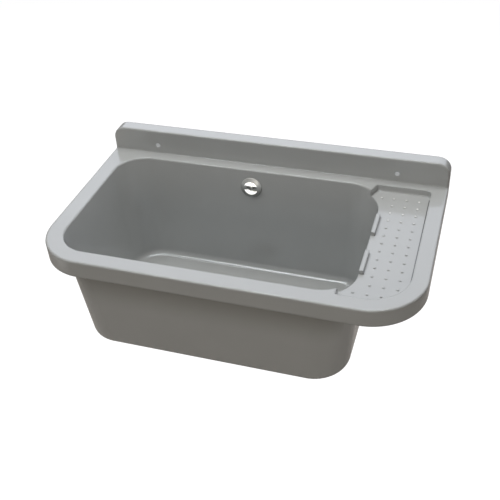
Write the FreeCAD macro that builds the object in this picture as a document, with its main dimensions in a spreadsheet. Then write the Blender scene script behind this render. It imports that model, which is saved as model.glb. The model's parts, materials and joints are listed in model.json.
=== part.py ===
import FreeCAD, Part
import math
import os
import re

import Sketcher
from FreeCAD import Rotation, Vector

# Wall-hung mop sink: a moulded basin with its overflow and waste set.
# Frame: origin midway between the two wall fixings on the wall plane, X across the sink,
# the front towards -Y, Z up, millimetres. Heights in the sketches count from the rim's top.

# ---------------------------------------------------------------- driving sizes

SIZES = {
    # basin outline
    "basin_width": 600,
    "basin_depth": 350,
    "outer_corner": 80.5,
    "outer_corner_tray": 86.5,
    "wall": 3.5,
    "skirt": 29,
    "edge_round": 2.5,
    "crease_round": 1.2,
    # upstand against the wall
    "upstand_rise": 43.5,
    "upstand_thick": 22.5,
    "upstand_corner": 22,
    # bowl
    "bowl_drop": 208,
    "rim_side": 28.5,
    "tray_span": 101.5,
    "rim_front": 28.5,
    "ledge_back": 20.8,
    "bowl_corner": 51,
    "bowl_corner_tray": 57,
    "draft": 4,
    "draft_tray": 5.2,
    "tray_wall": 8.5,
    "floor_round": 12,
    # soap tray
    "tray_drop": 11,
    "tray_rim": 25,
    "tray_ledge": 17,
    "tray_back_corner": 8,
    "tray_round": 2.5,
    "nib_back": 12.6,
    "nib_back_slant": 7.2,
    "nib_back_length": 18.2,
    "nib_front": 22.5,
    # studs on the tray's floor
    "stud_width": 3.4,
    "stud_rise": 1,
    "stud_side": 17,
    "stud_setback": 20.5,
    "stud_pitch": 20.3,
    # lugs on the edge between bowl and tray
    "lug_rise": 6,
    "lug_width": 6.5,
    "lug_length": 51,
    "lug_first": 70.8,
    "lug_pitch": 96,
    # webs below the rim
    "web": 2.5,
    "web_clear": 14,
    "web_lift": 5,
    # wall fixings
    "fixing_pitch": 430,
    "fixing_rise": 15,
    "fixing_bore": 8.5,
    "boss_width": 18,
    # overflow
    "overflow_drop": 34,
    "overflow_hole": 30,
    "rosette_width": 38,
    "rosette_opening": 24.5,
    "rosette_rise": 3.8,
    "rosette_lip": 1.2,
    "rosette_crest": 1.4,
    "rosette_bar": 8,
    "rosette_hub": 9,
    "bar_depth": 4,
    "bar_sink": 1.3,
    "slot_height": 4.4,
    "slot_lift": 1.2,
    "slot_depth": 2,
    "slot_end": 0.8,
    "seal": 3,
    "head_flange": 42,
    "head_width": 37,
    "head_depth": 31,
    "head_wall": 2,
    "head_drop": 36,
    "head_bevel": 2,
    "post_setback": 5.5,
    "post_width": 13,
    "post_gap": 2,
    "spout_reach": 19,
    "spout_width": 26,
    "pipe_width": 20,
    "pipe_wall": 1.6,
    "pipe_bend": 27,
    "nut_width": 31,
    "nut_height": 15,
    "nut_engage": 8,
    "cone_height": 4,
    "cone_step": 1.5,
    "nut_bevel": 1.5,
    "flute_width": 4,
    "flute_depth": 0.9,
    "pipe_grip": 12,
    "overflow_screw_length": 24,
    # waste
    "drain_setback": 80,
    "drain_hole": 42,
    "recess_width": 56,
    "recess_drop": 3,
    "strainer_width": 54,
    "strainer_sheet": 1,
    "strainer_cup": 35,
    "strainer_sink": 7,
    "strainer_slant": 2,
    "strainer_hole": 3,
    "strainer_ring_inner": 7.6,
    "strainer_ring_outer": 12.4,
    "strainer_seal": 2,
    "waste_flange": 60,
    "waste_wall": 3,
    "waste_length": 66,
    "throat_step": 1,
    "neck_slope": 5,
    "outlet_width": 41.9,
    "outlet_length": 20,
    "inlet_drop": 27,
    "inlet_reach": 42,
    "waste_screw_length": 24,
    "hub_drop": 12,
    "spider_width": 5,
    "spider_sink": 2,
    # shared by both screws and both inserts
    "screw_width": 5,
    "screw_head": 9,
    "screw_head_rise": 2.4,
    "screw_dome": 1.6,
    "screw_tip": 1,
    "cross_length": 4.6,
    "cross_width": 1.1,
    "cross_depth": 1.4,
    "insert_width": 8.5,
    "insert_length": 10,
    "insert_room": 4,
    "ease": 0.3,
}

# How many copies the patterns make.
NUT_FLUTES = 12
WEBS_LEFT = 3
WEBS_RIGHT = 4
LUGS = 2
STRAINER_HOLES_INNER = 6
STRAINER_HOLES_OUTER = 12

# Lengths this close count as equal when edges are picked.
NEAR = 0.01

# Formulas used by more than one piece, in terms of the sizes above.
BOWL_LEFT = "(rim_side - basin_width / 2)"
BOWL_RIGHT = "(basin_width / 2 - tray_span)"
BOWL_BACK = "(upstand_thick + ledge_back)"
BOWL_FRONT = "(basin_depth - rim_front)"
BOWL_MIDDLE = f"(({BOWL_LEFT} + {BOWL_RIGHT} + tray_wall - wall) / 2)"
FLOOR_INSIDE = "(bowl_drop - wall)"
DRAIN_Y = f"({BOWL_BACK} + drain_setback)"
RECESS_UNDER = "(bowl_drop + recess_drop)"
OVERFLOW_Y = f"({BOWL_BACK} + overflow_drop * tan(draft))"
WALL_NORMAL = "(wall * cos(draft))"
HEAD_FACE = f"({WALL_NORMAL} + seal)"
WASTE_TOP = f"({RECESS_UNDER} + seal)"

doc = FreeCAD.newDocument("mop_sink")
sheet = doc.addObject("Spreadsheet::Sheet", "Sizes")
for row, (alias, value) in enumerate(SIZES.items(), start=1):
    sheet.set(f"A{row}", alias.replace("_", " "))
    sheet.set(f"B{row}", str(value))
    sheet.setAlias(f"B{row}", alias)
doc.recompute()


# ---------------------------------------------------------------- drawing helpers

def tied(formula):
    """The formula with each size's name pointing at its cell."""
    return re.sub(r"[a-z]\w*", lambda name: "Sizes." * (name[0] in SIZES) + name[0], formula)


def worth(formula):
    """The formula's present value."""
    return float(sheet.evalExpression(tied(formula)))


def new_body(name, x="0", y="0", z="0", tilt=None):
    """An empty body whose Placement follows the sizes, tilted about its X axis."""
    body = doc.addObject("PartDesign::Body", name)
    body.Label = name
    body.setExpression("Placement.Base.x", tied(x))
    body.setExpression("Placement.Base.y", tied(y))
    body.setExpression("Placement.Base.z", tied(z))
    if tilt:
        body.Placement.Rotation = Rotation(Vector(1, 0, 0), 1)
        body.setExpression("Placement.Rotation.Angle", tied(tilt))
    return body


def new_sketch(body, name, plane, lift="0", x="0", y="0"):
    """A sketch on one of the body's own planes: XY, XZ (looks along +Y) or YZ."""
    sketch = body.newObject("Sketcher::SketchObject", name)
    support = next(item for item in body.Origin.OriginFeatures if item.Role == f"{plane}_Plane")
    sketch.AttachmentSupport = [(support, "")]
    sketch.MapMode = "FlatFace"
    sketch.setExpression("AttachmentOffset.Base.x", tied(x))
    sketch.setExpression("AttachmentOffset.Base.y", tied(y))
    sketch.setExpression("AttachmentOffset.Base.z", tied(lift))
    return sketch


def set_size(sketch, constraint, formula):
    """Add a dimension and bind it to its formula."""
    index = sketch.addConstraint(constraint)
    sketch.setExpression(f"Constraints[{index}]", tied(formula))


def trim(corner, before, after, radius):
    """The two ends and the middle of the arc that rounds one corner."""
    to_before = (before - corner).normalize()
    to_after = (after - corner).normalize()
    half = to_before.getAngle(to_after) / 2
    reach = radius / math.tan(half)
    centre = corner + (to_before + to_after).normalize() * (radius / math.sin(half))
    middle = centre + (corner - centre).normalize() * radius
    return corner + to_before * reach, middle, corner + to_after * reach


def outline(sketch, corners, closed=True):
    """Straight runs between corners (x, y) or (x, y, radius), each radius a tangent arc."""
    count = len(corners)
    spots = [Vector(worth(corner[0]), worth(corner[1]), 0) for corner in corners]
    starts = list(spots)
    ends = list(spots)
    arcs = {}
    for i, corner in enumerate(corners):
        if len(corner) == 3:
            before = spots[i - 1]
            after = spots[(i + 1) % count]
            ends[i], arcs[i], starts[i] = trim(spots[i], before, after, worth(corner[2]))
    runs = count if closed else count - 1
    first = sketch.GeometryCount
    for i in range(runs):
        sketch.addGeometry(Part.LineSegment(starts[i], ends[(i + 1) % count]), False)
    for i, corner in enumerate(corners):
        leaving = first + i
        arriving = first + (i - 1) % count
        inner = closed or 0 < i < count - 1
        point = sketch.addGeometry(Part.Point(spots[i]), True)
        set_size(sketch, Sketcher.Constraint("DistanceX", -1, 1, point, 1, spots[i].x), corner[0])
        set_size(sketch, Sketcher.Constraint("DistanceY", -1, 1, point, 1, spots[i].y), corner[1])
        if not inner:
            line, end = (leaving, 1) if i == 0 else (arriving, 2)
            sketch.addConstraint(Sketcher.Constraint("Coincident", line, end, point, 1))
            continue
        sketch.addConstraint(Sketcher.Constraint("PointOnObject", point, 1, arriving))
        sketch.addConstraint(Sketcher.Constraint("PointOnObject", point, 1, leaving))
        if i in arcs:
            arc = sketch.addGeometry(Part.Arc(ends[i], arcs[i], starts[i]), False)
            bend = (spots[i] - ends[i]).cross(starts[i] - spots[i]).z
            near, far = (1, 2) if bend > 0 else (2, 1)
            sketch.addConstraint(Sketcher.Constraint("Tangent", arriving, 2, arc, near))
            sketch.addConstraint(Sketcher.Constraint("Tangent", leaving, 1, arc, far))
            set_size(sketch, Sketcher.Constraint("Radius", arc, worth(corner[2])), corner[2])
        else:
            sketch.addConstraint(Sketcher.Constraint("Coincident", arriving, 2, leaving, 1))


def circle(sketch, width, x="0", y="0"):
    """A circle of the given diameter."""
    centre = Vector(worth(x), worth(y), 0)
    index = sketch.addGeometry(Part.Circle(centre, Vector(0, 0, 1), worth(width) / 2), False)
    set_size(sketch, Sketcher.Constraint("Diameter", index, worth(width)), width)
    set_size(sketch, Sketcher.Constraint("DistanceX", -1, 1, index, 3, centre.x), x)
    set_size(sketch, Sketcher.Constraint("DistanceY", -1, 1, index, 3, centre.y), y)


def box_outline(sketch, left, right, low, high):
    """A plain rectangle."""
    outline(sketch, [(left, low), (right, low), (right, high), (left, high)])


# ---------------------------------------------------------------- feature helpers

def settle(body, grows):
    """Recompute, and stop when the newest feature failed or left the volume as it was."""
    before = body.Tip.BaseFeature.Shape.Volume if body.Tip.BaseFeature else 0.0
    doc.recompute()
    after = body.Tip.Shape.Volume
    if "Invalid" in body.Tip.State or (after > before) != grows or math.isclose(after, before):
        raise RuntimeError(f"{body.Label}: {body.Tip.Name} changed {before:.1f} to {after:.1f}")


def pad(body, name, sketch, length, backwards=False):
    """Material from the sketch along its normal, or against it."""
    feature = body.newObject("PartDesign::Pad", name)
    feature.Profile = sketch
    feature.setExpression("Length", tied(length))
    feature.Reversed = backwards
    settle(body, True)
    return feature


def pocket(body, name, sketch, depth, forwards=False):
    """A cut from the sketch against its normal, or along it."""
    feature = body.newObject("PartDesign::Pocket", name)
    feature.Profile = sketch
    feature.setExpression("Length", tied(depth))
    feature.Reversed = forwards
    settle(body, False)
    return feature


def turn(body, name, corners, cuts=False, x="0", y="0"):
    """Material or a cut turned about the line through (x, y) along Z, from (radius, height)."""
    kind = "PartDesign::Groove" if cuts else "PartDesign::Revolution"
    sketch = new_sketch(body, f"{name}_profile", "XZ", lift=f"-({y})", x=x)
    outline(sketch, corners)
    feature = body.newObject(kind, name)
    feature.Profile = sketch
    feature.ReferenceAxis = (sketch, ["V_Axis"])
    feature.Angle = 360
    settle(body, not cuts)
    return feature


def join(body, name, kind, other):
    """Fuse another body into this one, or cut it out."""
    feature = body.newObject("PartDesign::Boolean", name)
    feature.addObjects([other])
    feature.Type = kind
    settle(body, kind == "Fuse")


def around(body, name, feature, sketch, copies):
    """Copies of one feature round the sketch's normal."""
    pattern = body.newObject("PartDesign::PolarPattern", name)
    pattern.Originals = [feature]
    pattern.Axis = (sketch, ["N_Axis"])
    pattern.Angle = 360
    pattern.Occurrences = copies
    body.Tip = pattern
    doc.recompute()


def in_line(body, name, feature, sketch, axis, pitch, copies, backwards=False):
    """Copies of one feature at a pitch along one axis of the sketch, or against it."""
    pattern = body.newObject("PartDesign::LinearPattern", name)
    pattern.Originals = [feature]
    set_row(pattern, sketch, axis, pitch, copies, backwards)
    body.Tip = pattern
    doc.recompute()


def set_row(pattern, sketch, axis, pitch, copies, backwards=False):
    """The row of a pattern: its direction, its pitch and how many copies it has."""
    pattern.Direction = (sketch, [axis])
    pattern.Reversed = backwards
    pattern.Mode = "Spacing"
    pattern.setExpression("Offset", tied(pitch))
    pattern.setExpression("Occurrences", tied(f"{copies}"))


def round_edges(body, name, radius, chosen):
    """A fillet on each edge of the tip that the test picks."""
    doc.recompute()
    base = body.Tip
    picked = [f"Edge{i}" for i, edge in enumerate(base.Shape.Edges, start=1) if chosen(edge)]
    if not picked:
        raise RuntimeError(f"{body.Label}: {name} finds no edge")
    feature = body.newObject("PartDesign::Fillet", name)
    feature.Base = (base, picked)
    feature.setExpression("Radius", tied(radius))
    doc.recompute()
    if "Invalid" in feature.State or not feature.Shape.isValid():
        raise RuntimeError(f"{body.Label}: {name} failed on {picked}")
    return feature


def level(edge, height):
    """Whether the whole edge lies at one height."""
    box = edge.BoundBox
    return abs(box.ZMin - height) < NEAR and abs(box.ZMax - height) < NEAR


# ---------------------------------------------------------------- basin

def make_bowl_form(name, swell, tray_side, tray_draft, drop):
    """A drafted block between the bowl's walls, swollen by a thickness, with round edges."""
    form = new_body(name)
    back = f"({BOWL_BACK} - {swell})"
    front = f"({BOWL_FRONT} + {swell})"
    left = f"{BOWL_LEFT} - {swell}"
    right = f"{BOWL_RIGHT} + {tray_side}"
    ends = new_sketch(form, f"{name}_ends", "XZ", lift=back)
    outline(ends, [(f"{left} + {drop} * tan(draft)", f"-{drop}"),
                   (f"{right} - {drop} * tan({tray_draft})", f"-{drop}"),
                   (right, "0"), (left, "0")])
    pad(form, f"{name}_block", ends, f"{front} - {back}")
    for side, edge, slope, away in (("back", f"-{back}", "-", "+"), ("front", f"-{front}", "+", "-")):
        wedge = new_sketch(form, f"{name}_{side}_draft", "YZ", lift=left)
        outline(wedge, [(edge, "0"), (f"{edge} {slope} {drop} * tan(draft)", f"-{drop}"),
                        (f"{edge} {away} wall", f"-{drop}"), (f"{edge} {away} wall", "0")])
        pocket(form, f"{name}_{side}_slope", wedge, f"{right} - ({left})", forwards=True)
    middle = worth(BOWL_MIDDLE)
    tall = worth(drop) / 2
    round_edges(form, f"{name}_end_corners", f"bowl_corner + {swell}",
                lambda edge: edge.BoundBox.ZLength > tall and edge.BoundBox.XMax < middle)
    round_edges(form, f"{name}_tray_corners", f"bowl_corner_tray + {swell}",
                lambda edge: edge.BoundBox.ZLength > tall and edge.BoundBox.XMin > middle)
    round_edges(form, f"{name}_foot", f"floor_round + {swell}",
                lambda edge: level(edge, -worth(drop)))
    return form


def tray_outline(sketch, swell):
    """The soap tray's outline: open to the bowl along its left side."""
    right = f"basin_width / 2 - tray_rim + {swell}"
    front = f"-(basin_depth - tray_rim + {swell})"
    back = f"-(upstand_thick + tray_ledge - {swell})"
    nib = f"{BOWL_RIGHT} - nib_back - {swell}"
    outline(sketch, [(f"{BOWL_RIGHT} - nib_front - {swell}", front),
                     (right, front, f"outer_corner_tray - tray_rim + {swell}"),
                     (right, back, f"tray_back_corner + {swell}"),
                     (nib, back), (f"{nib} - nib_back_slant", f"{back} - nib_back_length")])


def rim_outline(sketch, inset):
    """The rim's outline from above: square at the wall, round at the front."""
    left = f"-(basin_width / 2 - {inset})"
    right = f"basin_width / 2 - {inset}"
    front = f"-(basin_depth - {inset})"
    outline(sketch, [(left, front, f"outer_corner - {inset}"),
                     (right, front, f"outer_corner_tray - {inset}"),
                     (right, f"-({inset})"), (left, f"-({inset})")])


def make_basin():
    body = new_body("basin", z="-fixing_rise")
    # rim plate with its skirt, and the upstand, as blocks that are hollowed from behind
    rim = new_sketch(body, "rim_plan", "XY")
    rim_outline(rim, "0")
    pad(body, "rim_block", rim, "skirt", backwards=True)
    upstand = new_sketch(body, "upstand_face", "XZ")
    outline(upstand, [("-basin_width / 2", "-wall"), ("basin_width / 2", "-wall"),
                      ("basin_width / 2", "upstand_rise", "upstand_corner"),
                      ("-basin_width / 2", "upstand_rise", "upstand_corner")])
    pad(body, "upstand_block", upstand, "upstand_thick")
    soften_outside(body)
    under = new_sketch(body, "under_plan", "XY", lift="-skirt")
    rim_outline(under, "wall")
    pocket(body, "under_hollow", under, "skirt - wall", forwards=True)
    behind = new_sketch(body, "behind_face", "XZ")
    outline(behind, [("-(basin_width / 2 - wall)", "0"), ("basin_width / 2 - wall", "0"),
                     ("basin_width / 2 - wall", "upstand_rise - wall", "upstand_corner - wall"),
                     ("-(basin_width / 2 - wall)", "upstand_rise - wall",
                      "upstand_corner - wall")])
    pocket(body, "behind_hollow", behind, "upstand_thick - wall", forwards=True)
    make_webs(body)
    make_bowl(body)
    make_tray(body)
    make_fixings(body)
    make_openings(body)
    return body


def soften_outside(body):
    """The crease under the upstand, then the long edge round rim and upstand."""
    face = -worth("upstand_thick")
    half = worth("basin_width / 2")
    round_edges(body, "crease", "crease_round",
                lambda edge: level(edge, 0) and abs(edge.BoundBox.YMin - face) < NEAR
                and abs(edge.BoundBox.YMax - face) < NEAR)

    def outer(edge):
        box = edge.BoundBox
        on_rim = level(edge, 0) and (box.YMin < face - 2 * worth("crease_round"))
        on_face = abs(box.YMin - face) < NEAR and abs(box.YMax - face) < NEAR
        crest = on_face and box.ZMax > worth("crease_round") + NEAR
        bend = abs(box.XMin) > half - NEAR and abs(box.XMax) > half - NEAR
        bend = bend and 0 < box.ZLength <= worth("crease_round") + NEAR and box.ZMin > -NEAR
        return on_rim or crest or bend

    round_edges(body, "long_edge", "edge_round", outer)


def make_webs(body):
    """Thin webs that stiffen the rim from below, in one row to each side of the overflow."""
    for side, away, back, corner, copies in (("left", "-", "+", "outer_corner", WEBS_LEFT),
                                             ("right", "+", "-", "outer_corner_tray", WEBS_RIGHT)):
        first = f"({BOWL_MIDDLE} {away} (head_flange / 2 + web_clear))"
        plan = new_sketch(body, f"web_{side}_plan", "XY", lift="-wall / 2")
        box_outline(plan, f"{first} - web / 2", f"{first} + web / 2", "-(basin_depth - wall / 2)",
                    "-wall / 2")
        web = pad(body, f"web_{side}", plan, "skirt - wall / 2 - web_lift", backwards=True)
        run = f"(basin_width / 2 - {corner} - web {back} {first})"
        in_line(body, f"webs_{side}", web, plan, "H_Axis", f"{run} / {copies - 1}", copies,
                backwards=side == "left")


def make_bowl(body):
    """The bowl: a drafted block, hollowed by a smaller one of the wall's thickness less."""
    join(body, "bowl_outside", "Fuse",
         make_bowl_form("bowl_block", "wall", "tray_wall", "draft_tray", "bowl_drop"))
    # the tray's block goes in before the bowl is hollowed
    tray = new_sketch(body, "tray_block_plan", "XY")
    tray_outline(tray, "wall")
    pad(body, "tray_block", tray, "tray_drop + wall", backwards=True)
    join(body, "bowl_hollow", "Cut",
         make_bowl_form("bowl_core", "0", "0", "draft", FLOOR_INSIDE))
    round_edges(body, "mouth_edge", "edge_round",
                lambda edge: level(edge, 0) and -edge.BoundBox.YMax > worth(BOWL_BACK) - NEAR
                and edge.BoundBox.XMin > worth(BOWL_LEFT) - NEAR
                and -edge.BoundBox.YMin < worth(BOWL_FRONT) + NEAR)


def make_tray(body):
    """The soap tray with its round lower edge, its studs, and the two lugs along the bowl."""
    plan = new_sketch(body, "tray_plan", "XY")
    tray_outline(plan, "0")
    pocket(body, "tray_hollow", plan, "tray_drop")
    round_edges(body, "tray_floor_edge", "tray_round",
                lambda edge: level(edge, -worth("tray_drop"))
                and edge.BoundBox.XMax > worth(BOWL_RIGHT) + NEAR)
    right = f"({BOWL_RIGHT} - tray_drop * tan(draft))"
    back = f"-({BOWL_BACK} + lug_first)"
    lug = new_sketch(body, "lug_plan", "XY", lift="-tray_drop - wall / 2")
    box_outline(lug, right, f"{right} + lug_width", f"{back} - lug_length", back)
    first = pad(body, "lug", lug, "lug_rise + wall / 2")
    in_line(body, "lugs", first, lug, "V_Axis", "lug_pitch", LUGS, backwards=True)
    make_studs(body, plan)


# Rows of studs after the first that fit in front of it, the front setback like the back one.
STUD_ROWS = ("floor((basin_depth - tray_rim - upstand_thick - tray_ledge - 2 * stud_setback)"
             " / stud_pitch)")
# Columns of studs from the tray's side inwards: the step in pitches, and how many studs.
STUD_COLUMNS = (("1", STUD_ROWS), ("1", f"{STUD_ROWS} + 1"), ("1", f"{STUD_ROWS} + 1"),
                (STUD_ROWS, "2"))


def make_studs(body, plan):
    """Low studs on the tray's floor, in columns that end where the tray's outline does."""
    x = "(basin_width / 2 - tray_rim - stud_side)"
    y = "-(upstand_thick + tray_ledge + stud_setback)"
    for column, (step, studs) in enumerate(STUD_COLUMNS):
        spot = new_sketch(body, f"stud_{column}_plan", "XY", lift="-tray_drop")
        circle(spot, "stud_width", f"{x} - {column} * stud_pitch", y)
        stud = pad(body, f"stud_{column}", spot, "stud_rise")
        in_line(body, f"studs_{column}", stud, plan, "V_Axis", f"{step} * stud_pitch", studs,
                backwards=True)


def make_fixings(body):
    """Two bosses behind the upstand, each with a bore for a wall screw."""
    for side, sign in (("left", "-"), ("right", "")):
        x = f"{sign}fixing_pitch / 2"
        boss = new_sketch(body, f"boss_{side}_face", "XZ")
        circle(boss, "boss_width", x, "fixing_rise")
        pad(body, f"boss_{side}", boss, "upstand_thick - wall / 2")
        bore = new_sketch(body, f"bore_{side}_face", "XZ")
        circle(bore, "fixing_bore", x, "fixing_rise")
        pocket(body, f"bore_{side}", bore, "upstand_thick + wall", forwards=True)


def make_openings(body):
    """The overflow's hole and the recessed drain."""
    hole = new_sketch(body, "overflow_face", "XZ", lift=f"{OVERFLOW_Y} + 3 * wall",
                      x=BOWL_MIDDLE, y="-overflow_drop")
    circle(hole, "overflow_hole")
    pocket(body, "overflow_opening", hole, "5 * wall")
    drain = dict(x=BOWL_MIDDLE, y=f"-{DRAIN_Y}")
    half = "recess_width / 2"
    turn(body, "drain_boss",
         [("0", f"-{RECESS_UNDER}"), (f"{half} + wall", f"-{RECESS_UNDER}"),
          (f"{half} + wall + recess_drop", f"-{FLOOR_INSIDE} - wall / 2"),
          ("0", f"-{FLOOR_INSIDE} - wall / 2")], **drain)
    turn(body, "drain_recess",
         [("0", f"-{FLOOR_INSIDE} - recess_drop"), (half, f"-{FLOOR_INSIDE} - recess_drop"),
          (f"{half} + recess_drop", f"-{FLOOR_INSIDE}"),
          (f"{half} + recess_drop", f"-{FLOOR_INSIDE} + wall"), ("0", f"-{FLOOR_INSIDE} + wall")],
         cuts=True, **drain)
    plug = new_sketch(body, "drain_plan", "XY", lift=f"-{FLOOR_INSIDE}")
    circle(plug, "drain_hole", BOWL_MIDDLE, f"-{DRAIN_Y}")
    pocket(body, "drain_opening", plug, "recess_drop + 2 * wall")


# ---------------------------------------------------------------- overflow

# Overflow pieces stand on the bowl's back wall: their own Z is the wall's normal, zero on the
# wall's inner face and positive into the bowl, and their own Y points up along the wall.
AT_OVERFLOW = dict(x=BOWL_MIDDLE, y=f"-{OVERFLOW_Y}", z="-overflow_drop - fixing_rise",
                   tilt="90 - draft")
SCREW_SEAT = "(bar_depth - bar_sink + ease)"
POST_FRONT = f"({HEAD_FACE} + post_setback)"
HEAD_BACK = f"({HEAD_FACE} + head_depth)"
SPOUT_AXIS = f"({WALL_NORMAL} + spout_reach)"
SPOUT_BORE = "(pipe_width + ease)"


def make_rosette():
    """A ring that rises to its opening, with a crossbar, a hub and two pointed slots."""
    body = new_body("overflow_rosette", **AT_OVERFLOW)
    turn(body, "ring",
         [("rosette_opening / 2", "0"), ("rosette_width / 2", "0"),
          ("rosette_width / 2", "rosette_lip"),
          ("rosette_opening / 2 + rosette_crest", "rosette_rise"),
          ("rosette_opening / 2", "rosette_rise")])
    bar = new_sketch(body, "bar_plan", "XY", lift="-bar_sink")
    box_outline(bar, "-(rosette_opening / 2 + ease)", "rosette_opening / 2 + ease",
                "-rosette_bar / 2", "rosette_bar / 2")
    pad(body, "bar", bar, "bar_depth")
    slots = new_sketch(body, "slots_plan", "XY", lift="bar_depth - bar_sink")
    outline(slots, [("-(rosette_opening / 2 - slot_end)", "slot_lift"),
                    ("0", "slot_lift - slot_height / 2"),
                    ("rosette_opening / 2 - slot_end", "slot_lift"),
                    ("0", "slot_lift + slot_height / 2")])
    pocket(body, "slots", slots, "slot_depth")
    hub = new_sketch(body, "hub_plan", "XY", lift="-bar_sink")
    circle(hub, "rosette_hub")
    pad(body, "hub", hub, f"{SCREW_SEAT} + bar_sink")
    bore = new_sketch(body, "bore_plan", "XY", lift="-bar_depth")
    circle(bore, "screw_width + 2 * ease")
    pocket(body, "bore", bore, "bar_depth + rosette_rise", forwards=True)
    return body


def make_screw(name, length, seat, **place):
    """A round-headed screw with a cross recess, its head's underside at the seat's height."""
    body = new_body(name, **place)
    crown = f"{seat} + screw_head_rise"
    turn(body, "shank",
         [("0", f"{seat} - {length}"), ("screw_width / 2 - screw_tip", f"{seat} - {length}"),
          ("screw_width / 2", f"{seat} - {length} + screw_tip"), ("screw_width / 2", seat),
          ("screw_head / 2", seat), ("screw_head / 2", crown, "screw_dome"), ("0", crown)])
    for axis, wide, high in (("x", "cross_length", "cross_width"),
                             ("y", "cross_width", "cross_length")):
        recess = new_sketch(body, f"recess_{axis}_plan", "XY", lift=crown)
        box_outline(recess, f"-{wide} / 2", f"{wide} / 2", f"-{high} / 2", f"{high} / 2")
        pocket(body, f"recess_{axis}", recess, "cross_depth")
    return body


def make_ring(name, inner, outer, low, high, **place):
    """A plain flat ring: a washer, or a threaded insert."""
    body = new_body(name, **place)
    turn(body, "section", [(inner, low), (outer, low), (outer, high), (inner, high)])
    return body


def make_overflow_head():
    """The cup behind the wall, with a post for the screw and a spout that points down."""
    body = new_body("overflow_head", **AT_OVERFLOW)
    inside = "(head_width / 2 - head_wall)"
    turn(body, "cup",
         [(inside, f"-{HEAD_FACE}"), ("head_flange / 2", f"-{HEAD_FACE}"),
          ("head_flange / 2", f"-{HEAD_FACE} - head_wall"),
          ("head_width / 2", f"-{HEAD_FACE} - head_wall"),
          ("head_width / 2", f"head_bevel - {HEAD_BACK}"),
          ("head_width / 2 - head_bevel", f"-{HEAD_BACK}"), ("0", f"-{HEAD_BACK}"),
          ("0", f"-{POST_FRONT}"), ("post_width / 2", f"-{POST_FRONT}"),
          ("post_width / 2", f"-{HEAD_BACK} + head_wall"),
          (inside, f"-{HEAD_BACK} + head_wall")])
    spout = new_sketch(body, "spout_face", "XZ", lift=inside, y=f"-{SPOUT_AXIS}")
    circle(spout, "spout_width")
    pad(body, "spout", spout, f"head_drop - {inside}")
    channel = new_sketch(body, "channel_face", "XZ", lift="post_width / 2 + post_gap",
                         y=f"-{SPOUT_AXIS}")
    circle(channel, "pipe_width - 2 * pipe_wall")
    pocket(body, "channel", channel, "head_drop", forwards=True)
    socket = new_sketch(body, "socket_face", "XZ", lift="head_drop", y=f"-{SPOUT_AXIS}")
    circle(socket, SPOUT_BORE)
    pocket(body, "socket", socket, "pipe_grip")
    hold = new_sketch(body, "insert_plan", "XY", lift=f"-{POST_FRONT}")
    circle(hold, "insert_width")
    pocket(body, "insert_hole", hold, "insert_length + insert_room")
    return body


# The pipe's ends, as distances along Y (from the wall, counted to the front) and along Z.
MOUTH_Y = (f"({OVERFLOW_Y} - {SPOUT_AXIS} * cos(draft) + head_drop * sin(draft))")
MOUTH_Z = (f"(overflow_drop + {SPOUT_AXIS} * sin(draft) + head_drop * cos(draft))")
INLET_Y = f"({DRAIN_Y} - inlet_reach)"
INLET_Z = f"({WASTE_TOP} + inlet_drop)"
AT_MOUTH = dict(x=BOWL_MIDDLE, y=f"-{MOUTH_Y}", z=f"-{MOUTH_Z} - fixing_rise",
                tilt="180 - draft")
AT_INLET = dict(x=BOWL_MIDDLE, y=f"-{INLET_Y}", z=f"-{INLET_Z} - fixing_rise", tilt="-90")


def make_overflow_pipe():
    """A bent pipe from the head's spout down behind the bowl and forward to the waste."""
    body = new_body("overflow_pipe", x=BOWL_MIDDLE, z="-fixing_rise")
    grip = "(pipe_grip - ease)"
    end = f"{INLET_Y} + {grip}"
    section = new_sketch(body, "pipe_section", "XZ", lift=end)
    circle(section, "pipe_width", "0", f"-{INLET_Z}")
    circle(section, "pipe_width - 2 * pipe_wall", "0", f"-{INLET_Z}")
    path = new_sketch(body, "pipe_path", "YZ")
    outline(path, [(f"-({end})", f"-{INLET_Z}"),
                   (f"-({MOUTH_Y} + ({INLET_Z} - {MOUTH_Z}) * tan(draft))", f"-{INLET_Z}",
                    "pipe_bend"),
                   (f"-({MOUTH_Y} - {grip} * sin(draft))",
                    f"-({MOUTH_Z} - {grip} * cos(draft))")], closed=False)
    pipe = body.newObject("PartDesign::AdditivePipe", "pipe")
    pipe.Profile = section
    pipe.Spine = (path, [])
    settle(body, True)
    return body


def make_nut(name, **place):
    """A gripped union nut: its own Z runs out of the spout, zero at the spout's mouth."""
    body = new_body(name, **place)
    thread = "(spout_width / 2 + ease / 2)"
    collar = "(pipe_width / 2 + ease)"
    turn(body, "shell",
         [(thread, "-nut_engage"), ("nut_width / 2", "-nut_engage"),
          ("nut_width / 2", "nut_height - nut_engage - nut_bevel"),
          ("nut_width / 2 - nut_bevel", "nut_height - nut_engage"),
          (collar, "nut_height - nut_engage"), (collar, "cone_height"), (thread, "cone_height")])
    flute = new_sketch(body, "flute_plan", "XY", lift="-nut_engage")
    circle(flute, "flute_width", "(nut_width + flute_width) / 2 - flute_depth")
    first = pocket(body, "flute", flute, "nut_height - nut_bevel", forwards=True)
    around(body, "flutes", first, flute, NUT_FLUTES)
    return body


def make_cone_seal(name, **place):
    """The ring that the nut presses between the pipe and the spout's mouth."""
    body = new_body(name, **place)
    turn(body, "wedge", [("pipe_width / 2 + ease / 2", "0"), ("spout_width / 2", "0"),
                         ("spout_width / 2", "cone_height / 2"),
                         ("spout_width / 2 - cone_step", "cone_height"),
                         ("pipe_width / 2 + ease / 2", "cone_height")])
    return body


# ---------------------------------------------------------------- waste

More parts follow.
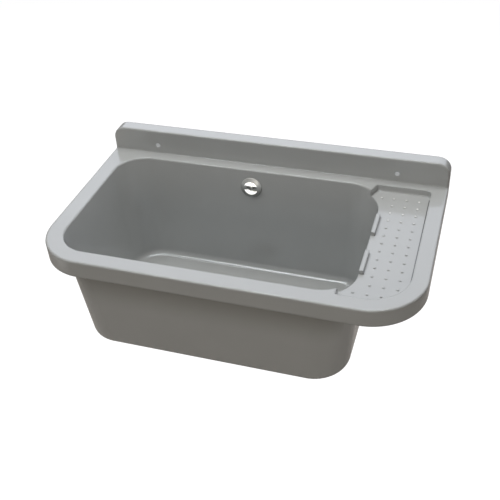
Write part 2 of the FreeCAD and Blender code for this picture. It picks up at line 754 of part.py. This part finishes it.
# Heights of waste pieces: those inside the bowl count from the recess's floor, and those below
# it from the waste body's top face.
AT_RECESS = dict(x=BOWL_MIDDLE, y=f"-{DRAIN_Y}", z=f"-{FLOOR_INSIDE} - recess_drop - fixing_rise")
AT_WASTE = dict(x=BOWL_MIDDLE, y=f"-{DRAIN_Y}", z=f"-{WASTE_TOP} - fixing_rise")
THROAT = "(drain_hole / 2 - throat_step)"
WASTE_NECK = "(waste_length - outlet_length)"


def make_strainer():
    """A pressed sheet dish with two rings of holes round its screw."""
    body = new_body("strainer_flange", **AT_RECESS)
    sheet_top = "(strainer_seal + strainer_sheet)"
    foot = "(strainer_cup / 2 - strainer_slant)"
    turn(body, "dish",
         [("strainer_width / 2", "strainer_seal"), ("strainer_width / 2", sheet_top),
          ("strainer_cup / 2 - strainer_sheet", sheet_top),
          (f"{foot} - strainer_sheet", "strainer_sheet - strainer_sink"),
          ("0", "strainer_sheet - strainer_sink"), ("0", "-strainer_sink"),
          (foot, "-strainer_sink"), ("strainer_cup / 2", "strainer_seal")])
    for name, copies in (("inner", STRAINER_HOLES_INNER), ("outer", STRAINER_HOLES_OUTER)):
        hole = new_sketch(body, f"hole_{name}_plan", "XY")
        circle(hole, "strainer_hole", f"strainer_ring_{name}")
        first = pocket(body, f"hole_{name}", hole, "2 * strainer_sink")
        around(body, f"holes_{name}", first, hole, copies)
    bore = new_sketch(body, "bore_plan", "XY")
    circle(bore, "screw_width + ease")
    pocket(body, "bore", bore, "2 * strainer_sink")
    return body


def make_waste_body():
    """The cup under the drain, with a spider for the screw, an inlet and a threaded outlet."""
    body = new_body("waste_body", **AT_WASTE)
    shell = f"({THROAT} + waste_wall)"
    turn(body, "cup",
         [(THROAT, "0"), ("waste_flange / 2", "0"), ("waste_flange / 2", "-waste_wall"),
          (shell, "-waste_wall"), (shell, f"neck_slope - {WASTE_NECK}"),
          ("outlet_width / 2", f"-{WASTE_NECK}"), ("outlet_width / 2", "-waste_length"),
          ("outlet_width / 2 - waste_wall", "-waste_length"),
          ("outlet_width / 2 - waste_wall", f"-{WASTE_NECK} - throat_step"),
          (THROAT, f"neck_slope - {WASTE_NECK}")])
    root = f"({THROAT} + waste_wall / 2)"
    inlet = new_sketch(body, "inlet_face", "XZ", lift=f"-{root}", y="-inlet_drop")
    circle(inlet, "spout_width")
    pad(body, "inlet", inlet, f"inlet_reach - {root}", backwards=True)
    channel = new_sketch(body, "channel_face", "XZ", lift=f"waste_wall - {THROAT}", y="-inlet_drop")
    circle(channel, "pipe_width - 2 * pipe_wall")
    pocket(body, "channel", channel, "inlet_reach")
    socket = new_sketch(body, "socket_face", "XZ", lift="-inlet_reach", y="-inlet_drop")
    circle(socket, SPOUT_BORE)
    pocket(body, "socket", socket, "pipe_grip", forwards=True)
    hub = new_sketch(body, "hub_plan", "XY", lift="-hub_drop")
    circle(hub, "post_width")
    pad(body, "hub", hub, "insert_length + spider_sink", backwards=True)
    spider = new_sketch(body, "spider_plan", "XY", lift="-hub_drop - spider_sink")
    box_outline(spider, f"-{root}", root, "-spider_width / 2", "spider_width / 2")
    pad(body, "spider", spider, "insert_length - spider_sink", backwards=True)
    hold = new_sketch(body, "insert_plan", "XY", lift="-hub_drop")
    circle(hold, "insert_width")
    pocket(body, "insert_hole", hold, "insert_length + insert_room")
    return body


# ---------------------------------------------------------------- the assembly

WASHER_SPAN = dict(low=f"-{HEAD_FACE}", high=f"-{WALL_NORMAL}")
INSERT_RING = dict(inner="screw_width / 2 + ease / 2", outer="insert_width / 2")

made = [
    make_basin(),
    make_rosette(),
    make_screw("overflow_screw", "overflow_screw_length", SCREW_SEAT, **AT_OVERFLOW),
    make_ring("overflow_seal", "overflow_hole / 2", "head_flange / 2", **WASHER_SPAN,
              **AT_OVERFLOW),
    make_overflow_head(),
    make_ring("overflow_insert", **INSERT_RING, low=f"-{POST_FRONT} - insert_length",
              high=f"-{POST_FRONT}", **AT_OVERFLOW),
    make_overflow_pipe(),
    make_nut("upper_nut", **AT_MOUTH),
    make_cone_seal("upper_cone_seal", **AT_MOUTH),
    make_nut("lower_nut", **AT_INLET),
    make_cone_seal("lower_cone_seal", **AT_INLET),
    make_strainer(),
    make_ring("strainer_seal", "drain_hole / 2", "strainer_width / 2 - strainer_sheet", "0",
              "strainer_seal", **AT_RECESS),
    make_screw("waste_screw", "waste_screw_length",
               "(strainer_sheet - strainer_sink + seal + wall)", **AT_WASTE),
    make_ring("waste_seal", "drain_hole / 2", "waste_flange / 2", "0", "seal", **AT_WASTE),
    make_waste_body(),
    make_ring("waste_insert", **INSERT_RING, low="-hub_drop - insert_length", high="-hub_drop",
              **AT_WASTE),
]


# ---------------------------------------------------------------- export

doc.recompute()
for item in doc.Objects:
    if "Invalid" in item.State or "Error" in item.State:
        raise RuntimeError(f"{item.Name} failed: {item.State}")
for body in made:
    if body.Shape.isNull() or not body.Shape.isValid():
        raise RuntimeError(f"{body.Label} has no valid shape")

os.makedirs("parts", exist_ok=True)
for body in made:
    body.Shape.exportStep(f"parts/{body.Label}.step")
    box = body.Shape.BoundBox
    print(f"{body.Label}: {body.Shape.Volume:.0f} mm3, solids {len(body.Shape.Solids)}, "
          f"x {box.XMin:.1f}..{box.XMax:.1f}, y {box.YMin:.1f}..{box.YMax:.1f}, "
          f"z {box.ZMin:.1f}..{box.ZMax:.1f}")
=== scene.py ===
import json
import math

import bpy
from mathutils import Color, Matrix, Vector


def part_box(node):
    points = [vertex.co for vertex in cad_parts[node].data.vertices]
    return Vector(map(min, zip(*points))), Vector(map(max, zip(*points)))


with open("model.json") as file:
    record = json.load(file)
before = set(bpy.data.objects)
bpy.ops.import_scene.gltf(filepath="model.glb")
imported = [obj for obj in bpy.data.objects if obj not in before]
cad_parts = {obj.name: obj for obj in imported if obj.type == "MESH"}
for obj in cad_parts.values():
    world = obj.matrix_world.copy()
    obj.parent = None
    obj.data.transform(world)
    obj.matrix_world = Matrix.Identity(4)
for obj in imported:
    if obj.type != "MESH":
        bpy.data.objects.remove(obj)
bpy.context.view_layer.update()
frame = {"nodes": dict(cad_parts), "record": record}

# A wall-hung mop sink: one grey moulding with a studded soap tray, a satin overflow rosette, and
# behind the bowl an overflow head, a pipe and a waste. Metres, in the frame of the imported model:
# origin between the two wall fixings on the wall plane, front towards -Y, Z up.

MM = 0.001

# how softly a mark on a surface ends, and how far it reaches past the form that it marks
MARGIN = 0.2 * MM

# ------------------------------------------------------------------ where things are

rosette_low, rosette_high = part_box("overflow_rosette")
waste_low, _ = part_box("waste_body")

# the overflow's middle on the bowl's back wall, which leans by the bowl's draft
OVERFLOW = Vector(((rosette_low.x + rosette_high.x) / 2, -45.68 * MM, -49 * MM))
WALL_SLOPE = math.tan(math.radians(4))

# the painted glow inside the overflow head, standing in for daylight from behind: its width, and
# where it lies behind the wall
PAINTED_GLOW_WIDTH = 34 * MM
PAINTED_GLOW_FRONT = 1 * MM
PAINTED_GLOW_BACK = 34.4 * MM

# the rosette, with its crest and its bar in front of the wall, and the two slots in the bar
ROSETTE_WIDTH = 38 * MM
ROSETTE_OPENING = 24.5 * MM
ROSETTE_CREST = 3.6 * MM
ROSETTE_BAR = 8 * MM
BAR_FRONT = 2.7 * MM
SLOT_LIFT = 1.2 * MM
SLOT_HEIGHT = 4.4 * MM
SLOT_DEPTH = 2 * MM

# how far the painted shade on the rosette's outer edge rises from its middle, and where it is full
ROSETTE_SHADE_TOP = 6 * MM
ROSETTE_SHADE_FULL = -2 * MM

# the wall fixings in the upstand
FIXING_PITCH = 430 * MM
FIXING_BORE = 8.5 * MM
UPSTAND_FACE = -22.5 * MM

# the soap tray, and the first of its studs
RIM_TOP = -15 * MM
TRAY_FLOOR = -26 * MM
TRAY_LEFT = 190 * MM
TRAY_RIGHT = 275 * MM
TRAY_FRONT = -315 * MM
TRAY_BACK = -50 * MM
# width of the painted shade along the soap tray's right foot
TRAY_SHADE_WIDTH = 2.4 * MM
STUD = Vector((258 * MM, -60 * MM))
STUD_PITCH = 20.3 * MM
STUD_WIDTH = 3.4 * MM
STUD_RISE = 1 * MM

# the painted highlight on the studs is full behind the first of these, and only a little before the
# second
STUD_HIGHLIGHT_BACK = -90 * MM
STUD_HIGHLIGHT_FRONT = -150 * MM
STUD_HIGHLIGHT_LEAST = 0.15

# the body below the skirt: heights of the skirt's foot and of the painted shade under it, the
# body's front, and the Y of the surface's normal where that painted shade starts and where it is
# full
SKIRT_FOOT = -44 * MM
SKIRT_SHADE_TOP = -62 * MM
SKIRT_SHADE_FOOT = -135 * MM
BODY_FRONT = -300 * MM
FACING_FRONT = (-0.3, -0.9)

# how bright the painted glow is in the wall fixings' bores and on the rosette's inner edge,
# standing in for daylight
FIXING_GLOW = 0.16
EDGE_GLOW = 0.8

# the studio floor, 30 cm below the waste: the camera sees mostly its glow, and in the rest of it
# the sink's shadow
FLOOR_HEIGHT = waste_low.z - 0.30
FLOOR_HALF = 6.0
FLOOR_GLOW = 1.2
FLOOR_GLOW_SHARE = 0.8

# ------------------------------------------------------------------ colours


def linear(red, green, blue):
    """A colour given in display values from 0 to 255."""
    tone = Color((red / 255, green / 255, blue / 255)).from_srgb_to_scene_linear()
    return (tone.r, tone.g, tone.b, 1.0)


BLACK = (0, 0, 0, 1)
WHITE = (1, 1, 1, 1)

PLASTIC_LIGHT = linear(185, 187, 187)
PLASTIC_DEEP = linear(178, 180, 180)
# painted highlight on the studs of the soap tray
PLASTIC_STUD_HIGHLIGHT = linear(246, 246, 246)
# painted shade on the body below the skirt
PLASTIC_SKIRT_SHADE = linear(150, 150, 146)
# painted shade along the soap tray's right foot
PLASTIC_TRAY_SHADE = linear(104, 106, 106)
PLASTIC_GLOSS = (0.80, 0.90, 1.0, 1)

# the rosette's plating as a shaded and a lit copy: painted shade below, painted light on top
PLATING_SHADED = (linear(132, 133, 131), linear(156, 157, 155))
PLATING_LIT = (linear(222, 223, 222), linear(244, 245, 244))
# painted shade in the bar's slots and at the ring's lower foot
PLATING_PAINTED_SHADE = linear(30, 30, 30)

STEEL = (linear(168, 168, 166), linear(196, 196, 194))
BRASS = (linear(186, 150, 86), linear(212, 178, 112))
WHITE_PLASTIC = (linear(232, 231, 226), linear(242, 241, 237))
RUBBER = (linear(28, 28, 28), linear(46, 46, 45))

ROOM_LIGHT = (0.12, 0.115, 0.109, 1)
FLOOR_PAINT = (0.45, 0.42, 0.385, 1)
FLOOR_SHADED = (0.95, 0.95, 0.95, 1)

# ------------------------------------------------------------------ shader helpers


class Wire:
    """A node's output. Operators on it add the Math nodes that work the expression out."""

    def __init__(self, finish, socket):
        self.finish = finish
        self.socket = socket

    def __add__(self, other):
        return self.finish.math("ADD", self, other)

    def __radd__(self, other):
        return self.finish.math("ADD", other, self)

    def __sub__(self, other):
        return self.finish.math("SUBTRACT", self, other)

    def __rsub__(self, other):
        return self.finish.math("SUBTRACT", other, self)

    def __mul__(self, other):
        return self.finish.math("MULTIPLY", self, other)

    def __rmul__(self, other):
        return self.finish.math("MULTIPLY", other, self)


class Finish:
    """A material: its Principled shader, and the nodes that vary its inputs over the surface."""

    def __init__(self, name, **constants):
        self.material = bpy.data.materials.new(name)
        self.material.use_nodes = True
        self.tree = self.material.node_tree
        self.shader = self.tree.nodes["Principled BSDF"]
        for socket, value in constants.items():
            self.shader.inputs[socket.replace("_", " ")].default_value = value

    def node(self, kind, settings=None, inputs=None, output=0):
        """Add a node: its settings first, then a value or a wire for each named input."""
        made = self.tree.nodes.new(kind)
        for name, value in (settings or {}).items():
            setattr(made, name, value)
        for socket, value in (inputs or {}).items():
            if isinstance(value, Wire):
                self.tree.links.new(value.socket, made.inputs[socket])
            else:
                made.inputs[socket].default_value = value
        return Wire(self, made.outputs[output])

    def math(self, operation, *operands):
        """One Math node."""
        return self.node("ShaderNodeMath", {"operation": operation}, dict(enumerate(operands)))

    def feed(self, socket, wire):
        """Let a wire drive one input of the shader."""
        self.tree.links.new(wire.socket, self.shader.inputs[socket])

    def place(self):
        """The point on the object, in metres."""
        return self.node("ShaderNodeTexCoord", output="Object")

    def axis(self, name):
        """One coordinate of the point, in metres."""
        return self.node("ShaderNodeSeparateXYZ", inputs={0: self.place()}, output=name)

    def noise(self, size, detail=2.0, stretch=(1, 1, 1)):
        """Soft noise from 0 to 1, its patches about this size in metres."""
        spot = self.node("ShaderNodeVectorMath", {"operation": "MULTIPLY"},
                         {0: self.place(), 1: stretch})
        return self.node("ShaderNodeTexNoise", None,
                         {"Vector": spot, "Scale": 1 / size, "Detail": detail}, "Fac")

    def ramp(self, value, low, high, start=0.0, end=1.0):
        """The value carried from the span low..high to the span start..end, with soft ends."""
        return self.node("ShaderNodeMapRange", {"interpolation_type": "SMOOTHSTEP"},
                         {"Value": value, "From Min": low, "From Max": high,
                          "To Min": start, "To Max": end})

    def blend(self, share, first, second):
        """One colour fading into another as the share goes from 0 to 1."""
        return self.node("ShaderNodeMix", {"data_type": "RGBA"},
                         {"Factor": share, "A": first, "B": second}, "Result")

    def distance(self, first, second):
        """How far a point is from where both of these are zero."""
        return self.math("SQRT", first * first + second * second)

    def below(self, value, high, soft=MARGIN):
        """1 where the value is under a limit, else 0."""
        return self.ramp(value, high + soft, high - soft)

    def inside(self, value, low, high, soft=MARGIN):
        """1 where the value lies between two limits, else 0."""
        return self.ramp(value, low - soft, low + soft) * self.below(value, high, soft)

    def colour(self, share, first, second):
        """A base colour that goes from one to the other as the share goes from 0 to 1."""
        self.feed("Base Color", self.blend(share, first, second))

    def roughness(self, noise, least, most):
        """Roughness between these two, by the middle part of a soft noise."""
        self.feed("Roughness", self.ramp(noise, 0.3, 0.7, least, most))

    def relief(self, height, depth, rounding=None):
        """Bump from a height of 0 to 1, this deep in metres, over softly rounded edges."""
        inputs = {"Height": height, "Strength": 1.0, "Distance": depth}
        if rounding:
            inputs["Normal"] = self.node("ShaderNodeBevel", {"samples": 4}, {"Radius": rounding})
        self.feed("Normal", self.node("ShaderNodeBump", None, inputs))

    def glow(self, share):
        """A painted white glow that the share lets out of the surface."""
        self.shader.inputs["Emission Strength"].default_value = 1.0
        self.feed("Emission Color", self.blend(share, BLACK, WHITE))


# ------------------------------------------------------------------ marks on the sink


def overflow_place(finish):
    """A point's reach from the overflow's axis, its rise, and how far it is behind the wall."""
    across = finish.axis("X") - OVERFLOW.x
    rise = finish.axis("Z") - OVERFLOW.z
    behind = finish.axis("Y") - OVERFLOW.y - rise * WALL_SLOPE
    return finish.distance(across, rise), rise, behind


def overflow_painted_glow(finish):
    """1 in the overflow's way behind the bowl's wall, for a painted glow that stands in for
    daylight coming through, else 0.
    """
    reach, _, behind = overflow_place(finish)
    return (finish.below(reach, PAINTED_GLOW_WIDTH / 2 + 0.3 * MM, 0.3 * MM)
            * finish.inside(behind, PAINTED_GLOW_FRONT, PAINTED_GLOW_BACK, 0.4 * MM))


def fixing_painted_glow(finish):
    """1 in the bores of the two wall fixings, for a painted glow that stands in for daylight from
    behind, else 0.
    """
    side = finish.math("ABSOLUTE", finish.axis("X")) - FIXING_PITCH / 2
    reach = finish.distance(side, finish.axis("Z"))
    return (finish.below(reach, FIXING_BORE / 2 + 2 * MARGIN)
            * finish.inside(finish.axis("Y"), UPSTAND_FACE + MARGIN, MM))


def stud_painted_highlights(finish):
    """1 on the studs of the soap tray, less towards the front, for a painted highlight, else 0."""
    half = STUD_PITCH / 2
    across = finish.math("WRAP", finish.axis("X") - STUD.x, half, -half)
    along = finish.math("WRAP", finish.axis("Y") - STUD.y, half, -half)
    top = TRAY_FLOOR + STUD_RISE
    return (finish.below(finish.distance(across, along), STUD_WIDTH / 2 + MARGIN)
            * finish.inside(finish.axis("Z"), TRAY_FLOOR + MARGIN, top + MM, MARGIN / 2)
            * finish.inside(finish.axis("X"), TRAY_LEFT, STUD.x + half)
            * finish.inside(finish.axis("Y"), TRAY_FRONT, TRAY_BACK)
            * finish.ramp(finish.axis("Y"), STUD_HIGHLIGHT_FRONT, STUD_HIGHLIGHT_BACK, STUD_HIGHLIGHT_LEAST, 1.0))


def tray_painted_shade(finish):
    """Up to 1 in the round foot of the soap tray's right side, for painted shade, else 0."""
    return (finish.inside(finish.axis("X"), TRAY_RIGHT - TRAY_SHADE_WIDTH, TRAY_RIGHT + MM, 0.5 * MM)
            * finish.inside(finish.axis("Z"), TRAY_FLOOR - MM, RIM_TOP - MM)
            * finish.inside(finish.axis("Y"), TRAY_FRONT, TRAY_BACK, MM))


def skirt_painted_shade(finish):
    """Up to 1 on the body's front just below the skirt, for painted shade under the skirt, else 0.
    """
    facing = finish.node("ShaderNodeNewGeometry", output="Normal")
    forwards = finish.node("ShaderNodeSeparateXYZ", inputs={0: facing}, output="Y")
    height = finish.axis("Z")
    return (finish.ramp(height, SKIRT_SHADE_FOOT, SKIRT_SHADE_TOP)
            * finish.ramp(height, SKIRT_FOOT + 0.5 * MM, SKIRT_FOOT - 0.5 * MM)
            * finish.ramp(forwards, *FACING_FRONT)
            * finish.ramp(finish.axis("Y"), BODY_FRONT + 5 * MM, BODY_FRONT))


def rosette_painted_shade(finish, reach, rise, behind):
    """1 in the slots of the rosette's bar and on the lower part of its outer edge, for painted
    shade, else 0.
    """
    slot_front = MARGIN - BAR_FRONT
    slots = (finish.inside(rise, SLOT_LIFT - SLOT_HEIGHT / 2, SLOT_LIFT + SLOT_HEIGHT / 2)
             * finish.inside(behind, slot_front, slot_front + SLOT_DEPTH, MARGIN / 2)
             * finish.below(reach, ROSETTE_OPENING / 2))
    foot = (finish.inside(reach, ROSETTE_WIDTH / 2 - 2 * MARGIN, ROSETTE_WIDTH / 2 + MM)
            * finish.ramp(rise, ROSETTE_SHADE_TOP, ROSETTE_SHADE_FULL))
    return finish.math("MAXIMUM", slots, foot)


def rosette_edge_painted_glow(finish, reach, rise, behind):
    """1 on the rosette's inner edge, for a painted glow that stands in for the overflow's daylight,
    else 0.
    """
    bar = finish.inside(rise, -ROSETTE_BAR / 2, ROSETTE_BAR / 2)
    edge = finish.inside(reach, ROSETTE_OPENING / 2 - 0.3 * MM, ROSETTE_OPENING / 2 + 0.3 * MM)
    return edge * (1 - bar) * finish.inside(behind, -ROSETTE_CREST, MM)


# ------------------------------------------------------------------ finishes


def basin_plastic():
    """Light grey moulded plastic: faint clouding, a glossy skin and soft edges, with painted
    highlights on the studs, painted shade under the skirt and along the soap tray's right foot, and
    a painted glow in the overflow and the fixing bores.
    """
    finish = Finish("basin_plastic", Coat_Weight=0.5, Coat_Roughness=0.06,
                    Specular_Tint=PLASTIC_GLOSS)
    grey = finish.blend(finish.noise(90 * MM, 3.0), PLASTIC_DEEP, PLASTIC_LIGHT)
    # painted highlight on the studs
    highlighted = finish.blend(stud_painted_highlights(finish), grey, PLASTIC_STUD_HIGHLIGHT)
    # painted shade under the skirt
    shaded = finish.blend(skirt_painted_shade(finish), highlighted, PLASTIC_SKIRT_SHADE)
    # painted shade along the soap tray's right foot
    finish.colour(tray_painted_shade(finish), shaded, PLASTIC_TRAY_SHADE)
    finish.roughness(finish.noise(14 * MM), 0.13, 0.19)
    grain = finish.noise(1.1 * MM, 1.0)
    ripple = finish.noise(28 * MM, 1.0)
    finish.relief(grain * 0.1 + ripple * 0.9, 0.2 * MM, 4.5 * MM)
    # painted glow in the overflow and, fainter, in the fixing bores, standing in for daylight from
    # behind
    finish.glow(overflow_painted_glow(finish) + fixing_painted_glow(finish) * FIXING_GLOW)
    return finish.material


def satin_metal():
    """Satin-plated plastic of the rosette: clouded by water, painted lighter on its upper half and
    darker on its lower for light and shade, with painted shade at its foot and in its slots and a
    painted glow on its inner edge.
    """
    finish = Finish("satin_metal", Metallic=0.6)
    reach, rise, behind = overflow_place(finish)
    clouds = finish.noise(3 * MM, 3.0)
    # painted light and shade: the ring lighter towards its top, darker towards its bottom
    lit_share = finish.ramp(rise, -ROSETTE_WIDTH / 4, ROSETTE_WIDTH / 4)
    plating = finish.blend(lit_share, finish.blend(clouds, *PLATING_SHADED),
                           finish.blend(clouds, *PLATING_LIT))
    # painted shade in the slots and at the ring's foot, over the painted light and shade of the
    # plating
    finish.colour(rosette_painted_shade(finish, reach, rise, behind), plating, PLATING_PAINTED_SHADE)
    finish.roughness(clouds, 0.3, 0.42)
    finish.relief(finish.noise(0.8 * MM), 0.03 * MM, 0.5 * MM)
    # painted glow on the rosette's inner edge
    finish.glow(rosette_edge_painted_glow(finish, reach, rise, behind) * EDGE_GLOW)
    return finish.material


def steel():
    """Turned and pressed stainless steel with fine lines."""
    finish = Finish("steel", Metallic=1.0)
    lines = finish.noise(0.6 * MM, stretch=(1, 1, 0.12))
    finish.colour(lines, *STEEL)
    finish.roughness(lines, 0.22, 0.34)
    finish.relief(lines, 0.03 * MM, 0.4 * MM)
    # painted glow where the part lies in the overflow's way, standing in for daylight from behind
    finish.glow(overflow_painted_glow(finish))
    return finish.material


def white_plastic():
    """Natural white moulded plastic, satin-grained, with a painted glow where daylight would fill
    the overflow.
    """
    finish = Finish("white_plastic")
    clouds = finish.noise(20 * MM, 3.0)
    finish.colour(clouds, *WHITE_PLASTIC)
    finish.roughness(clouds, 0.36, 0.46)
    finish.relief(finish.noise(1.2 * MM), 0.05 * MM, 0.6 * MM)
    # painted glow where the part lies in the overflow's way, standing in for daylight from behind
    finish.glow(overflow_painted_glow(finish))
    return finish.material


def rubber():
    """Black moulded rubber with a dusty bloom."""
    finish = Finish("rubber")
    bloom = finish.noise(6 * MM, 4.0)
    finish.colour(bloom, *RUBBER)
    finish.roughness(bloom, 0.62, 0.8)
    finish.relief(finish.noise(0.6 * MM), 0.04 * MM)
    # painted glow where the part lies in the overflow's way, standing in for daylight from behind
    finish.glow(overflow_painted_glow(finish))
    return finish.material


def brass():
    """Turned brass of the threaded inserts."""
    finish = Finish("brass", Metallic=1.0)
    lines = finish.noise(0.6 * MM, stretch=(1, 1, 0.15))
    finish.colour(lines, *BRASS)
    finish.roughness(lines, 0.26, 0.38)
    finish.relief(lines, 0.03 * MM)
    # painted glow where the part lies in the overflow's way, standing in for daylight from behind
    finish.glow(overflow_painted_glow(finish))
    return finish.material


def dress(finishes):
    """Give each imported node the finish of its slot."""
    slots = {part["node"]: part["material_slot"] for part in frame["record"]["subparts"]}
    for name, node in frame["nodes"].items():
        node.data.materials.clear()
        node.data.materials.append(finishes[slots[name]])


# ------------------------------------------------------------------ studio


def set_camera():
    """The photograph's own view: from the right, above and in front, rolled a little."""
    heading = math.radians(19.484)
    fall = math.radians(37.939)
    roll = math.radians(-3.583)
    lens = bpy.data.cameras.new("view")
    lens.sensor_width = 36
    lens.lens = 55.767
    camera = bpy.data.objects.new("view", lens)
    camera.matrix_world = (Matrix.Translation((0.3385, -1.1263, 0.7029))
                           @ Matrix.Rotation(heading, 4, "Z")
                           @ Matrix.Rotation(math.pi / 2 - fall, 4, "X")
                           @ Matrix.Rotation(roll, 4, "Z"))
    bpy.context.scene.collection.objects.link(camera)
    bpy.context.scene.camera = camera


# A box overhead, a wide cool screen behind, warm light from the front and a card at the left:
# name, place, the point it faces, size, power in watts and tint.
SOFTBOXES = (
    ("overhead", (-0.15, -0.06, 1.45), (-0.05, -0.18, 0), (1.7, 0.25), 18.5, (1.0, 1.0, 0.98)),
    ("screen", (-0.1, 1.5, 1.05), (0, -0.15, 0), (3.0, 1.5), 17.5, (0.95, 0.98, 1.10)),
    ("front_key", (0.5, -1.6, 1.5), (0, -0.2, -0.05), (1.2, 0.6), 3.5, (1.0, 0.95, 0.86)),
    ("front_fill", (0.4, -2.2, 0.35), (0, -0.2, -0.05), (1.2, 0.6), 5.1, (1.0, 0.93, 0.84)),
    ("left_card", (-1.0, -0.6, -0.5), (-0.25, -0.25, 0), (0.8, 0.9), 1.0, (1.0, 0.96, 0.9)),
)


def add_softbox(name, place, aim, size, power, tint):
    """A rectangular lamp that faces a point."""
    lamp = bpy.data.lights.new(name, "AREA")
    lamp.shape = "RECTANGLE"
    lamp.size, lamp.size_y = size
    lamp.energy = power
    lamp.color = tint
    fixture = bpy.data.objects.new(name, lamp)
    fixture.location = place
    fixture.rotation_euler = (Vector(aim) - Vector(place)).to_track_quat("-Z", "Y").to_euler()
    fixture.visible_camera = False
    bpy.context.scene.collection.objects.link(fixture)


def set_world():
    """An even studio room: dim for the object's shading, white where the camera sees it."""
    world = bpy.data.worlds.new("room")
    world.use_nodes = True
    tree = world.node_tree
    path = tree.nodes.new("ShaderNodeLightPath")
    seen = tree.nodes.new("ShaderNodeMix")
    seen.data_type = "RGBA"
    seen.inputs["A"].default_value = ROOM_LIGHT
    seen.inputs["B"].default_value = WHITE
    tree.links.new(path.outputs["Is Camera Ray"], seen.inputs["Factor"])
    tree.links.new(seen.outputs["Result"], tree.nodes["Background"].inputs["Color"])
    bpy.context.scene.world = world


def add_floor():
    """A pale floor that looks white from above, takes the sink's shadow and hides nothing below."""
    mesh = bpy.data.meshes.new("floor")
    corners = [(x * FLOOR_HALF, y * FLOOR_HALF, FLOOR_HEIGHT)
               for x, y in ((-1, -1), (1, -1), (1, 1), (-1, 1))]
    mesh.from_pydata(corners, [], [(0, 1, 2, 3)])
    floor = bpy.data.objects.new("floor", mesh)
    finish = Finish("floor_paint", Base_Color=FLOOR_PAINT, Roughness=0.9, Specular_IOR_Level=0.1)
    glow = finish.node("ShaderNodeEmission", None, {"Color": WHITE, "Strength": FLOOR_GLOW})
    paint = finish.node("ShaderNodeBsdfDiffuse", None, {"Color": FLOOR_SHADED})
    seen = finish.node("ShaderNodeMixShader", None, {0: FLOOR_GLOW_SHARE, 1: paint, 2: glow})
    path = finish.node("ShaderNodeLightPath", output="Is Camera Ray")
    both = finish.node("ShaderNodeMixShader", None,
                       {0: path, 1: Wire(finish, finish.shader.outputs[0]), 2: seen})
    below = finish.node("ShaderNodeNewGeometry", output="Backfacing")
    clear = finish.node("ShaderNodeBsdfTransparent")
    whole = finish.node("ShaderNodeMixShader", None, {0: below, 1: both, 2: clear})
    finish.tree.links.new(whole.socket, finish.tree.nodes["Material Output"].inputs["Surface"])
    mesh.materials.append(finish.material)
    bpy.context.scene.collection.objects.link(floor)


# ------------------------------------------------------------------ build

set_camera()
dress({"basin_plastic": basin_plastic(), "satin_metal": satin_metal(), "steel": steel(),
       "white_plastic": white_plastic(), "rubber": rubber(), "brass": brass()})
set_world()
add_floor()
for softbox in SOFTBOXES:
    add_softbox(*softbox)

view = bpy.context.scene.view_settings
view.view_transform = "Standard"
